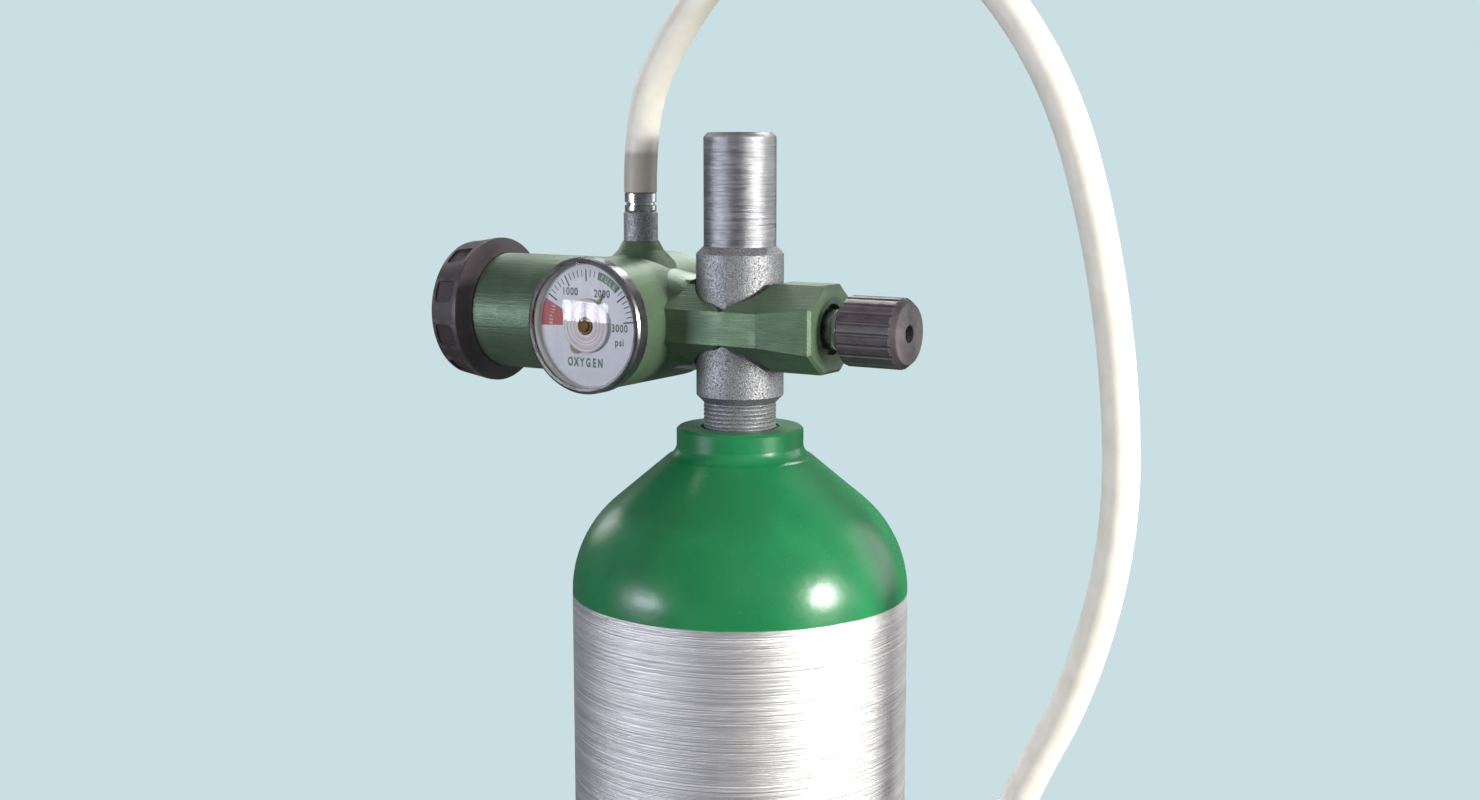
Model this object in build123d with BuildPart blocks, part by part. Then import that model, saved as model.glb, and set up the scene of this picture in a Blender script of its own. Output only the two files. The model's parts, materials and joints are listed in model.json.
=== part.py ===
"""Portable medical oxygen cylinder: aluminium cylinder, post valve, yoke regulator and hose."""

import os
from math import cos, pi, radians, sin, sqrt, tan

from build123d import *

os.makedirs("parts", exist_ok=True)

# ---------------------------------------------------------------- driving dimensions (mm)
# Frame: origin at the centre of the base, +Z up, regulator axis along X, gauge facing -Y.
WALL_R = 55.6  # cylinder outside radius, 4.38 in
WALL = 5.2
PAINT_Z = 364.5  # foot of the painted shoulder
SHOULDER_R = 39.0
FLOOR = 12.0  # thickness of the base
NECK_TOP = 419.1
NECK_R = 20.9
THREAD_R = 11.1
POST_R = 14.3
POST_LOW, POST_HIGH = 427.3, 478.2
POST_TOP = 514.7
BONNET_R = 11.8
REG_Z = 452.8  # height of the regulator's axis
BODY_R = 20.0
GAUGE_X = -39.0
GAUGE_FRONT = -34.0
BEZEL_R = 22.2
LENS_R = 20.3
YOKE_Y, YOKE_Z = 17.3, 14.1  # half width and half height of the octagonal yoke
YOKE_END = 34.4
FLAT_X = 12.6  # machined gas port face of the post
STEM_LIFT = 1.75
RUNNING = 0.08  # radial clearance of turning and sliding fits
HOSE_R = 5.5
COIL_X, COIL_Y = 147.5, 32.0
COIL_RADII = (71.5, 60.5, 49.5)

# Hose route, from the outlet barb over the arch and down beside the cylinder to the coil.
HOSE_ROUTE = [
    (-39, 0, 494.9),
    (-39, 0, 514),
    (-32, 0, 537),
    (-7, 0, 568),
    (25, 0, 582),
    (58, 0, 579),
    (85, 0, 562),
    (109, 0, 528),
    (122, 0, 487),
    (130, 0, 440),
    (131, 0, 396),
    (120, 0, 350),
    (102, 0, 314),
    (85, 0, 270),
    (74, -6, 222),
    (70, -22, 176),
    (72, -42, 132),
    (76, -57, 102),
    (76, -58, 46),
    (76, -18, 5.6),
    (76, 38, 5.6),
]

REG_AXIS = Axis((0, 0, REG_Z), (1, 0, 0))
GAUGE_AXIS = Axis((GAUGE_X, 0, REG_Z), (0, 1, 0))
SECTION_Z = Plane.XZ  # local x is the radius, local y the height
SECTION_X = Plane(origin=(0, 0, REG_Z), x_dir=(1, 0, 0), z_dir=(0, -1, 0))
SECTION_Y = Plane(origin=(GAUGE_X, 0, REG_Z), x_dir=(0, 1, 0), z_dir=(1, 0, 0))
OUTLET_PLANE = Plane(origin=(GAUGE_X, 0, REG_Z), x_dir=(1, 0, 0), z_dir=(0, -1, 0))
OUTLET_AXIS = Axis((GAUGE_X, 0, 0), (0, 0, 1))
SIDES = (-1, 1)

pieces = {}


def turn(points, plane, axis, mode=Mode.ADD):
    """Revolve a closed outline about an axis into the part being built."""
    with BuildSketch(plane) as outline:
        with BuildLine():
            Polyline(*points, close=True)
        make_face()
    revolve(outline.sketch, axis=axis, mode=mode)


def tube_z(low, high, outer, inner=0.0, mode=Mode.ADD):
    """A plain ring or disc about the cylinder's axis."""
    turn([(inner, low), (outer, low), (outer, high), (inner, high)], SECTION_Z, Axis.Z, mode)


def tube_x(low, high, outer, inner=0.0, mode=Mode.ADD):
    """A plain ring or disc about the regulator's axis."""
    turn([(low, inner), (high, inner), (high, outer), (low, outer)], SECTION_X, REG_AXIS, mode)


def tube_y(low, high, outer, inner=0.0, mode=Mode.ADD):
    """A plain ring or disc about the gauge's axis."""
    turn([(low, inner), (high, inner), (high, outer), (low, outer)], SECTION_Y, GAUGE_AXIS, mode)


def keep(name, builder):
    """Label a finished piece and remember it for export."""
    builder.part.label = name
    pieces[name] = builder.part


def grooved(low, high, radius, pitch, depth):
    """Points up a turned surface that carries V grooves, as (radius, height)."""
    count = int((high - low) / pitch)
    points = [(radius, low)]
    for i in range(count):
        z = low + (i + 0.5) * pitch
        points += [(radius, z - 0.3 * pitch), (radius - depth, z), (radius, z + 0.3 * pitch)]
    return points + [(radius, high)]


# ================================================================ cylinder
with BuildPart() as cylinder_shell:
    with BuildSketch(SECTION_Z):
        with BuildLine():
            Line((0, 0), (46, 0))
            RadiusArc((46, 0), (WALL_R, 9.6), -9.6)
            Line((WALL_R, 9.6), (WALL_R, PAINT_Z))
            shoulder = CenterArc((WALL_R - SHOULDER_R, PAINT_Z), SHOULDER_R, 0, 50.3)
            Line(shoulder @ 1, (24.0, 409.2))
            ThreePointArc((24.0, 409.2), (21.9, 410.7), (NECK_R, 413.0))
            Polyline((NECK_R, 413.0), (NECK_R, NECK_TOP - 0.8), (NECK_R - 0.8, NECK_TOP),
                     (12.95, NECK_TOP), (12.95, NECK_TOP - 1.8), (THREAD_R + 0.1, NECK_TOP - 1.8),
                     (THREAD_R + 0.1, 396), (24, 392))
            ThreePointArc((24, 392), (42.5, 382), (WALL_R - WALL, 360))
            Line((WALL_R - WALL, 360), (WALL_R - WALL, FLOOR + 9))
            RadiusArc((WALL_R - WALL, FLOOR + 9), (WALL_R - WALL - 9, FLOOR), 9)
            Polyline((WALL_R - WALL - 9, FLOOR), (0, FLOOR), (0, 0))
        make_face()
    revolve(axis=Axis.Z)
keep("cylinder_shell", cylinder_shell)

with BuildPart() as neck_o_ring:
    with BuildSketch(SECTION_Z):
        with Locations((12.05, NECK_TOP - 0.92)):
            Circle(0.82)
    revolve(axis=Axis.Z)
keep("neck_o_ring", neck_o_ring)

# ================================================================ post valve
INDEX_ANGLE = 18  # the two oxygen pins stand 18 degrees each side of straight down
INDEX_PCR = 14.29
INDEX_Y = INDEX_PCR * sin(radians(INDEX_ANGLE))
INDEX_Z = REG_Z - INDEX_PCR * cos(radians(INDEX_ANGLE))
SEAT_Z = 440.0
CHAMBER_R = 6.0
CHAMBER_TOP = 463.0

with BuildPart() as valve_body:
    turn(
        [(0, 393), (9.9, 393)]
        + grooved(395, NECK_TOP - 1.9, THREAD_R, 1.8, 0.7)
        + [(THREAD_R, NECK_TOP)]
        + grooved(NECK_TOP, POST_LOW, 11.9, 1.35, 0.35)
        + [(POST_R, POST_LOW + 2.4), (POST_R, POST_HIGH - 2.4), (11.9, POST_HIGH), (0, POST_HIGH)],
        SECTION_Z, Axis.Z,
    )
    tube_z(CHAMBER_TOP, POST_HIGH, 8.5, mode=Mode.SUBTRACT)
    tube_z(SEAT_Z, CHAMBER_TOP, CHAMBER_R, mode=Mode.SUBTRACT)
    tube_z(393, SEAT_Z, 2.2, mode=Mode.SUBTRACT)
    tube_z(393, 401, 3.2, mode=Mode.SUBTRACT)
    # machined port face with its washer recess, gas port and index pin holes
    with Locations((-FLAT_X - 5, 0, REG_Z - 1)):
        Box(10, 30, 36, mode=Mode.SUBTRACT)
    tube_x(-FLAT_X - 1, -5, 2.4, mode=Mode.SUBTRACT)
    with BuildSketch(Plane(origin=(-FLAT_X, 0, 0), x_dir=(0, 1, 0), z_dir=(1, 0, 0))):
        with Locations(*[(side * INDEX_Y, INDEX_Z) for side in SIDES]):
            Circle(2.4)
    extrude(amount=5.5, mode=Mode.SUBTRACT)
    # cone that centres the clamp screw's pad
    turn([(10.8, 0), (15, 0), (15, 4.2)], SECTION_X, REG_AXIS, Mode.SUBTRACT)
    # burst disc port at the back
    with BuildSketch(Plane.XZ.offset(-15)):
        with Locations((0, 434)):
            Circle(3.6)
    extrude(amount=8.2, mode=Mode.SUBTRACT)
    with BuildSketch(Plane.XZ.offset(-8)):
        with Locations((0, 434)):
            Circle(1.0)
    extrude(amount=7, mode=Mode.SUBTRACT)
keep("valve_body", valve_body)

with BuildPart() as valve_bonnet:
    turn([(0, 464.2), (8.4, 464.2), (8.4, POST_HIGH), (BONNET_R, POST_HIGH), (BONNET_R, POST_TOP - 1.5),
          (BONNET_R - 1.5, POST_TOP), (0, POST_TOP)], SECTION_Z, Axis.Z)
    tube_z(464.2, 492, 4.3, mode=Mode.SUBTRACT)
    tube_z(492, POST_TOP, 7.0, mode=Mode.SUBTRACT)
    tube_z(464.2, 466.6, 6.2, mode=Mode.SUBTRACT)
keep("valve_bonnet", valve_bonnet)

with BuildPart() as stem_packing:
    for low in (492.0, 494.6):
        tube_z(low, low + 2.5, 6.95, 4.28)
keep("stem_packing", stem_packing)

with BuildPart() as packing_gland:
    tube_z(497.2, 503.0, 6.9, 4.3)
    with Locations((0, 0, 502.2)):
        Box(16, 1.6, 1.8, mode=Mode.SUBTRACT)
keep("packing_gland", packing_gland)

with BuildPart() as valve_stem:
    tube_z(463.4, 504, 4.3 - RUNNING)
    tube_z(464.3, 466.4, 6.0)
    with BuildSketch(Plane.XY.offset(504)):
        Rectangle(5.8, 5.8)
        chamfer(vertices(), 0.6)
    extrude(amount=7)
    chamfer(faces().sort_by(Axis.Z)[-1].edges(), 0.4)
    with Locations((0, 0, 461.2)):
        Box(5.6, 1.8, 4.6)
keep("valve_stem", valve_stem)

PLUG_LOW = SEAT_Z + STEM_LIFT + 0.1
with BuildPart() as valve_plug:
    turn(
        [(0, PLUG_LOW), (3.6, PLUG_LOW), (4.3, PLUG_LOW + 0.7), (4.3, 455), (CHAMBER_R - RUNNING, 456),
         (CHAMBER_R - RUNNING, 461.4), (0, 461.4)],
        SECTION_Z, Axis.Z,
    )
    tube_z(PLUG_LOW, PLUG_LOW + 2.2, 3.0, mode=Mode.SUBTRACT)
    with Locations((0, 0, 460)):
        Box(6.2, 2.2, 4.4, mode=Mode.SUBTRACT)
keep("valve_plug", valve_plug)

with BuildPart() as valve_seat_disc:
    tube_z(PLUG_LOW, PLUG_LOW + 2.2, 3.0)
keep("valve_seat_disc", valve_seat_disc)

with BuildPart() as anti_debris_tube:
    tube_z(348, 401, 3.2, 2.2)
keep("anti_debris_tube", anti_debris_tube)

with BuildPart() as safety_plug:
    with BuildSketch(Plane.XZ.offset(-7.4)):
        with Locations((0, 434)):
            Circle(3.5)
    extrude(amount=-8)
    with BuildSketch(Plane.XZ.offset(-14.4)):
        with Locations((0, 434)):
            RegularPolygon(4.7, 6)
    extrude(amount=-4)
    fillet(edges().group_by(Axis.Y)[-1], 0.4)
    with BuildSketch(Plane.XZ.offset(-7.4)):
        with Locations((0, 434)):
            Circle(1.1)
    extrude(amount=-12, mode=Mode.SUBTRACT)
keep("safety_plug", safety_plug)

with BuildPart() as burst_disc:
    with BuildSketch(Plane.XZ.offset(-6.85)):
        with Locations((0, 434)):
            Circle(3.4)
    extrude(amount=-0.5)
keep("burst_disc", burst_disc)

# ================================================================ regulator body and yoke
BODY_LEFT = -95.6
FLOW_BORE_R = 16.5
PISTON_BORE_R = 11.0
WINDOW_LEFT = -15.0
WINDOW_R = POST_R + 0.4
WAIST_X, WAIST_Z = 2.6, 5.3  # the pinch on each side of the post

with BuildPart() as regulator_body:
    # round body on the regulator's axis, coned down behind the gauge boss to meet the yoke
    turn([(BODY_LEFT, 0), (BODY_LEFT, BODY_R), (-41, BODY_R), (-29, 17.7), (-14, 14.6), (-14, 0)],
         SECTION_X, REG_AXIS)
    # gauge boss across it
    tube_y(GAUGE_FRONT + 6.0, 18.0, 21.5)
    # flared outlet boss
    turn([(0, 10), (17, 13), (11.4, 19), (7.6, 23), (6.1, 25.9), (0, 25.9)],
         OUTLET_PLANE, OUTLET_AXIS)
    # octagonal yoke, notched to a narrow waist on each side of the post
    with BuildSketch(Plane(origin=(-30, 0, REG_Z), x_dir=(0, 1, 0), z_dir=(1, 0, 0))):
        with BuildLine():
            Polyline((-YOKE_Y, -5.4), (-YOKE_Y, 5.4), (-6, YOKE_Z), (6, YOKE_Z), (YOKE_Y, 5.4),
                     (YOKE_Y, -5.4), (6, -YOKE_Z), (-6, -YOKE_Z), close=True)
        make_face()
    extrude(amount=30 + YOKE_END)
    with BuildSketch(SECTION_X):
        for side in SIDES:
            with BuildLine():
                Polyline((WAIST_X - 0.6, side * WAIST_Z), (WAIST_X + 0.6, side * WAIST_Z),
                         (13.4, side * (YOKE_Z + 0.2)), (13.4, side * 20), (-12.6, side * 20),
                         (-12.6, side * (YOKE_Z + 0.2)), close=True)
            make_face()
    extrude(amount=30, both=True, mode=Mode.SUBTRACT)
    # window that passes over the post
    with BuildSketch(Plane.XY.offset(REG_Z)):
        with Locations((0, 0), (WAIST_X, 0)):
            Circle(WINDOW_R)
        with Locations((WAIST_X / 2, 0)):
            Rectangle(WAIST_X, 2 * WINDOW_R)
        with Locations((WINDOW_LEFT / 2, 0)):
            Rectangle(-WINDOW_LEFT, 15)
    extrude(amount=30, both=True, mode=Mode.SUBTRACT)
    # the yoke's cheeks draw in towards its end
    with BuildSketch(Plane.XY.offset(REG_Z)):
        for side in SIDES:
            with BuildLine():
                Polyline((16, side * YOKE_Y), (YOKE_END, side * 14.9), (YOKE_END, side * 20),
                         (16, side * 20), close=True)
            make_face()
    extrude(amount=20, both=True, mode=Mode.SUBTRACT)
    chamfer(faces().sort_by(Axis.X)[-1].outer_wire().edges(), 0.9)
    # clamp screw bore with the pad's recess
    tube_x(14, YOKE_END, 5.0, mode=Mode.SUBTRACT)
    tube_x(14, 27.6, 6.2, mode=Mode.SUBTRACT)
    tube_x(YOKE_END - 2.4, YOKE_END, 8.2, mode=Mode.SUBTRACT)
    # flow control bore, piston bore, gas passage and inlet bores
    tube_x(BODY_LEFT, -66, FLOW_BORE_R, mode=Mode.SUBTRACT)
    tube_x(-66, -61.5, PISTON_BORE_R, mode=Mode.SUBTRACT)
    tube_x(-61.5, -14, 1.6, mode=Mode.SUBTRACT)
    tube_x(-34, -14, 3.5, mode=Mode.SUBTRACT)
    with BuildSketch(Plane(origin=(-25, 0, 0), x_dir=(0, 1, 0), z_dir=(1, 0, 0))):
        with Locations(*[(side * INDEX_Y, INDEX_Z) for side in SIDES]):
            Circle(2.0)
    extrude(amount=14, mode=Mode.SUBTRACT)
    # gauge pocket and its pressure port
    tube_y(GAUGE_FRONT + 5, -8.0, 18.9, mode=Mode.SUBTRACT)
    tube_y(-8.5, -1.0, 4.0, mode=Mode.SUBTRACT)
    # outlet bore and relief valve bore
    with BuildSketch(Plane.XY.offset(REG_Z + 27)):
        with Locations((GAUGE_X, 0)):
            Circle(4.2)
    extrude(amount=-12, mode=Mode.SUBTRACT)
    with BuildSketch(Plane.XY.offset(REG_Z + 16)):
        with Locations((GAUGE_X, 0)):
            Circle(1.6)
    extrude(amount=-16, mode=Mode.SUBTRACT)
    tube_y(8.0, 18.1, 4.5, mode=Mode.SUBTRACT)
    tube_y(17.5, 22.0, 6.6, mode=Mode.SUBTRACT)
    tube_y(0.0, 8.1, 1.6, mode=Mode.SUBTRACT)
keep("regulator_body", regulator_body)

with BuildPart() as inlet_nipple:
    turn([(-30, 1.3), (-30, 3.45), (-13.4, 3.45), (-12.8, 2.3), (-12.1, 2.3), (-12.1, 1.3)],
         SECTION_X, REG_AXIS)
keep("inlet_nipple", inlet_nipple)

with BuildPart() as inlet_filter:
    tube_x(-33.9, -30.1, 3.45)
keep("inlet_filter", inlet_filter)

with BuildPart() as seal_washer:
    turn([(-14.95, 3.5), (-FLAT_X - 0.05, 3.5), (-FLAT_X - 0.05, 5.6), (-13.1, 6.1), (-14.5, 6.1),
          (-14.95, 5.6)], SECTION_X, REG_AXIS)
keep("seal_washer", seal_washer)

with BuildPart() as index_pins:
    with BuildSketch(Plane(origin=(-25, 0, 0), x_dir=(0, 1, 0), z_dir=(1, 0, 0))):
        with Locations(*[(side * INDEX_Y, INDEX_Z) for side in SIDES]):
            Circle(2.0)
    extrude(amount=17)
    chamfer(faces().sort_by(Axis.X)[-2:].edges(), 0.5)
keep("index_pins", index_pins)

with BuildPart() as relief_valve:
    turn([(8.2, 0), (8.2, 4.4), (17.6, 4.4), (17.6, 6.2), (24.2, 6.2), (25.0, 5.4), (25.0, 0)],
         SECTION_Y, GAUGE_AXIS)
    with BuildSketch(Plane(origin=(GAUGE_X, 26, REG_Z), x_dir=(1, 0, 0), z_dir=(0, -1, 0))):
        with PolarLocations(3.4, 6):
            Circle(0.7)
    extrude(amount=4, mode=Mode.SUBTRACT)
keep("relief_valve", relief_valve)

# ---------------------------------------------------------------- pressure reducing piston
with BuildPart() as piston:
    tube_x(-65.8, -62.9, PISTON_BORE_R - RUNNING)
    tube_x(-74.0, -65.8, 3.0)
    tube_x(-62.9, -62.4, 4.0)
    tube_x(-64.9, -63.8, PISTON_BORE_R, 9.4, mode=Mode.SUBTRACT)
keep("piston", piston)

with BuildPart() as piston_o_ring:
    tube_x(-64.88, -63.82, PISTON_BORE_R - 0.01, 9.42)
keep("piston_o_ring", piston_o_ring)

SPRING_R, SPRING_WIRE = 6.2, 0.5
with BuildPart() as piston_spring:
    with BuildLine():
        coil_line = Helix(1.7, 6.4, SPRING_R, center=(-66.6, 0, REG_Z), direction=(-1, 0, 0))
    with BuildSketch(Plane(origin=coil_line @ 0, z_dir=coil_line % 0)):
        Circle(SPRING_WIRE)
    sweep(is_frenet=True)
keep("piston_spring", piston_spring)

# ---------------------------------------------------------------- flow control
with BuildPart() as flow_housing:
    tube_x(-90.0, -74.0, FLOW_BORE_R - 0.05, 3.1 + RUNNING)
    tube_x(-79.0, -74.0, 8.0, mode=Mode.SUBTRACT)
    tube_x(-90.0, -86.0, 14.2 + RUNNING, 0, mode=Mode.SUBTRACT)
    with BuildSketch(Plane(origin=(-86, 0, REG_Z + 9.5), x_dir=(0, 1, 0), z_dir=(1, 0, 0))):
        Circle(1.6)
    extrude(amount=4, mode=Mode.SUBTRACT)
keep("flow_housing", flow_housing)

with BuildPart() as detent_ball:
    with BuildSketch(SECTION_X):
        with BuildLine():
            CenterArc((-84.85, 9.5), 1.1, 0, 180)
            Line((-85.95, 9.5), (-83.75, 9.5))
        make_face()
    revolve(axis=Axis((0, 0, REG_Z + 9.5), (1, 0, 0)))
keep("detent_ball", detent_ball)

with BuildPart() as detent_spring:
    with BuildSketch(Plane(origin=(-83.7, 0, REG_Z + 9.5), x_dir=(0, 1, 0), z_dir=(1, 0, 0))):
        Circle(1.4)
        Circle(0.9, mode=Mode.SUBTRACT)
    extrude(amount=1.6)
keep("detent_spring", detent_spring)

with BuildPart() as orifice_disc:
    tube_x(-89.6, -86.1, 14.2, 3.0)
    with BuildSketch(Plane(origin=(-90, 0, REG_Z), x_dir=(0, 1, 0), z_dir=(1, 0, 0))):
        with PolarLocations(9.5, 10, start_angle=18):
            Circle(0.5)
    extrude(amount=5, mode=Mode.SUBTRACT)
keep("orifice_disc", orifice_disc)

with BuildPart() as flow_spindle:
    tube_x(-108.4, -80.5, 3.0)
keep("flow_spindle", flow_spindle)

with BuildPart() as housing_ring:
    turn([(-94.9, 5.0), (-94.9, 15.9), (-94.3, FLOW_BORE_R - 0.05), (-90.2, FLOW_BORE_R - 0.05),
          (-90.2, 14.0), (-91.4, 12.4), (-91.4, 5.0)], SECTION_X, REG_AXIS)
    with BuildSketch(Plane(origin=(-95, 0, REG_Z), x_dir=(0, 1, 0), z_dir=(1, 0, 0))):
        with PolarLocations(10.5, 2):
            Circle(1.1)
    extrude(amount=5, mode=Mode.SUBTRACT)
keep("housing_ring", housing_ring)

KNOB_BACK, KNOB_RIDGE, KNOB_FRONT = -96.0, -99.2, -112.7
RIDGE_R, KNOB_FRONT_R = 25.2, 23.6
KNOB_WINDOWS = 10
with BuildPart() as flow_knob:
    turn(
        [(KNOB_BACK, 17.6), (KNOB_BACK, 20.4), (KNOB_RIDGE, RIDGE_R), (KNOB_RIDGE - 1.2, RIDGE_R),
         (KNOB_FRONT + 1.6, KNOB_FRONT_R), (KNOB_FRONT, KNOB_FRONT_R - 1.8), (KNOB_FRONT, 11.0),
         (KNOB_FRONT + 1.0, 10.4), (KNOB_FRONT + 1.0, 3.0), (-97.0, 3.0), (-97.0, 6.5), (-109.6, 6.5),
         (-109.6, 20.6), (-101, 21.4), (-98.2, 18.6)],
        SECTION_X, REG_AXIS,
    )
    # rounded window recesses around the rim
    for i in range(KNOB_WINDOWS):
        angle = 18 + i * 360 / KNOB_WINDOWS
        out = (0, cos(radians(angle)), sin(radians(angle)))
        face = Plane(origin=(-105.6, 23.2 * out[1], REG_Z + 23.2 * out[2]), x_dir=(1, 0, 0), z_dir=out)
        with BuildSketch(face):
            RectangleRounded(8.2, 7.4, 1.5)
        extrude(amount=4, mode=Mode.SUBTRACT)
keep("flow_knob", flow_knob)

with BuildPart() as knob_cap:
    turn([(KNOB_FRONT + 0.9, 0), (KNOB_FRONT + 0.9, 10.3), (KNOB_FRONT - 0.1, 10.3), (KNOB_FRONT - 0.7, 9.4),
          (KNOB_FRONT - 0.7, 0)], SECTION_X, REG_AXIS)
keep("knob_cap", knob_cap)

# ---------------------------------------------------------------- outlet
with BuildPart() as outlet_barb:
    turn(
        [(1.6, 15.2), (4.15, 15.2), (4.15, 25.95), (5.7, 25.95), (5.7, 35.2), (5.2, 35.8), (3.2, 35.8),
         (3.2, 44.5), (3.9, 45.0), (3.2, 48.5), (3.9, 49.0), (3.2, 52.5), (3.9, 53.0), (2.9, 56.4),
         (1.6, 56.4)],
        OUTLET_PLANE, OUTLET_AXIS,
    )
keep("outlet_barb", outlet_barb)

with BuildPart() as hose_ferrule:
    turn(
        [(3.25, 35.85), (5.2, 35.85), (5.3, 36.2), (5.3, 37.7), (4.7, 38.0), (4.7, 38.6), (5.3, 38.9),
         (5.3, 41.7), (4.9, 42.1), (3.25, 42.1)],
        OUTLET_PLANE, OUTLET_AXIS,
    )
keep("hose_ferrule", hose_ferrule)

# ================================================================ clamp screw
KNOB_IN, KNOB_OUT = 40.4, 61.4
CLAMP_FLUTES = 20

with BuildPart() as clamp_pad:
    turn([(11.3, 0), (15.2, 3.6), (15.2, 5.6), (16.0, 6.0), (18.6, 6.0), (18.6, 2.6), (17.0, 2.6),
          (17.0, 0)], SECTION_X, REG_AXIS)
keep("clamp_pad", clamp_pad)

with BuildPart() as clamp_screw:
    tube_x(17.1, 19.0, 2.6 - RUNNING)
    turn([(18.75, 0), (18.75, 4.3), (19.4, 4.9), (39.7, 4.9), (40.3, 4.2), (52.0, 4.2), (52.0, 0)],
         SECTION_X, REG_AXIS)
keep("clamp_screw", clamp_screw)

with BuildPart() as clamp_collar:
    turn([(32.6, 4.95), (32.6, 6.1), (33.0, 6.5), (36.6, 6.5), (37.0, 6.1), (37.4, 6.5), (39.8, 6.5),
          (40.2, 6.1), (40.2, 4.95)], SECTION_X, REG_AXIS)
keep("clamp_collar", clamp_collar)

with BuildPart() as clamp_knob:
    turn([(KNOB_IN, 4.2), (KNOB_IN, 10.1), (KNOB_IN + 1.1, 11.2), (KNOB_OUT - 2.0, 11.2), (KNOB_OUT, 9.6),
          (KNOB_OUT, 2.8), (52.0, 2.8), (52.0, 4.2)], SECTION_X, REG_AXIS)
    with BuildSketch(Plane(origin=(KNOB_IN, 0, REG_Z), x_dir=(0, 1, 0), z_dir=(1, 0, 0))):
        with PolarLocations(11.75, CLAMP_FLUTES):
            Circle(0.95)
    extrude(amount=KNOB_OUT - KNOB_IN, mode=Mode.SUBTRACT)
keep("clamp_knob", clamp_knob)

with BuildPart() as clamp_knob_screw:
    turn([(53.6, 0), (53.6, 2.75), (52.1, 2.75), (52.1, 0)], SECTION_X, REG_AXIS)
    with Locations((53.4, 0, REG_Z)):
        Box(0.8, 0.9, 7, mode=Mode.SUBTRACT)
keep("clamp_knob_screw", clamp_knob_screw)

# ================================================================ pressure gauge
CASE_R = 18.6
DIAL_R = 20.9
RIM_R = 21.1  # inside radius of the bezel's wall
DIAL_Y = GAUGE_FRONT + 3.2
DOME_R = 100.0  # radius of the domed lens
LENS_TOP = GAUGE_FRONT - 0.9
with BuildPart() as gauge_bezel:
    turn([(GAUGE_FRONT + 5.9, RIM_R), (GAUGE_FRONT + 5.9, BEZEL_R - 0.3), (GAUGE_FRONT + 5.4, BEZEL_R),
          (GAUGE_FRONT + 1.2, BEZEL_R), (GAUGE_FRONT + 0.4, BEZEL_R - 0.4), (GAUGE_FRONT, BEZEL_R - 1.1),
          (GAUGE_FRONT + 0.2, LENS_R), (GAUGE_FRONT + 0.9, LENS_R), (GAUGE_FRONT + 0.9, RIM_R)],
         SECTION_Y, GAUGE_AXIS)
keep("gauge_bezel", gauge_bezel)

with BuildPart() as gauge_lens:
    with BuildSketch(SECTION_Y):
        with BuildLine():
            middle = LENS_TOP + DOME_R - sqrt(DOME_R**2 - 100)
            rim = LENS_TOP + DOME_R - sqrt(DOME_R**2 - (LENS_R - 0.1) ** 2)
            back = GAUGE_FRONT + 2.1
            ThreePointArc((LENS_TOP, 0), (middle, 10), (rim, LENS_R - 0.1))
            ledge = GAUGE_FRONT + 0.95
            Polyline((rim, LENS_R - 0.1), (ledge, LENS_R - 0.1), (ledge, RIM_R - 0.05),
                     (back, RIM_R - 0.05), (back, LENS_R - 0.1), (rim + 1.2, LENS_R - 0.1))
            ThreePointArc((rim + 1.2, LENS_R - 0.1), (middle + 1.2, 10), (LENS_TOP + 1.2, 0))
            Line((LENS_TOP + 1.2, 0), (LENS_TOP, 0))
        make_face()
    revolve(axis=GAUGE_AXIS)
keep("gauge_lens", gauge_lens)

with BuildPart() as gauge_gasket:
    turn([(GAUGE_FRONT + 2.15, RIM_R - 0.1), (GAUGE_FRONT + 2.15, 20.6), (DIAL_Y - 0.05, 19.8),
          (DIAL_Y - 0.05, RIM_R - 0.1)], SECTION_Y, GAUGE_AXIS)
keep("gauge_gasket", gauge_gasket)

with BuildPart() as gauge_case:
    tube_y(DIAL_Y + 0.55, -28.15, RIM_R - 0.05)
    tube_y(-28.2, -9.0, CASE_R)
    tube_y(DIAL_Y + 0.5, -10.4, 17.3, mode=Mode.SUBTRACT)
    tube_y(-10.5, -8.9, 4.0, mode=Mode.SUBTRACT)
keep("gauge_case", gauge_case)

with BuildPart() as gauge_dial:
    tube_y(DIAL_Y, DIAL_Y + 0.5, DIAL_R, 1.4)
keep("gauge_dial", gauge_dial)

# the scale runs clockwise over the top, from ZERO_ANGLE to FULL_ANGLE; the pointer reads READING psi
ZERO_ANGLE, FULL_ANGLE = 176, 6
FULL_SCALE, READING = 3000, 2075
POINTER_ANGLE = ZERO_ANGLE - (ZERO_ANGLE - FULL_ANGLE) * READING / FULL_SCALE
POINTER_Y = DIAL_Y - 0.6  # front of the pointer
DISC_Y = POINTER_Y - 0.55  # front of the disc over the pointer's middle
with BuildPart() as gauge_pointer:
    with BuildSketch(Plane(origin=(GAUGE_X, POINTER_Y, REG_Z), x_dir=(1, 0, 0), z_dir=(0, -1, 0))):
        with BuildLine():
            tip = [(13.4, 0), (8.6, 0.5), (0.4, 0.9), (-8.0, 1.2), (-8.0, -1.2), (0.4, -0.9), (8.6, -0.5)]
            spin = radians(POINTER_ANGLE)
            Polyline(*[(x * cos(spin) - y * sin(spin), x * sin(spin) + y * cos(spin)) for x, y in tip],
                     close=True)
        make_face()
        with Locations((-8.2 * cos(spin), -8.2 * sin(spin))):
            Circle(2.3)
        Circle(2.2)
        Circle(1.0, mode=Mode.SUBTRACT)
    extrude(amount=-0.3)
keep("gauge_pointer", gauge_pointer)

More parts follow.
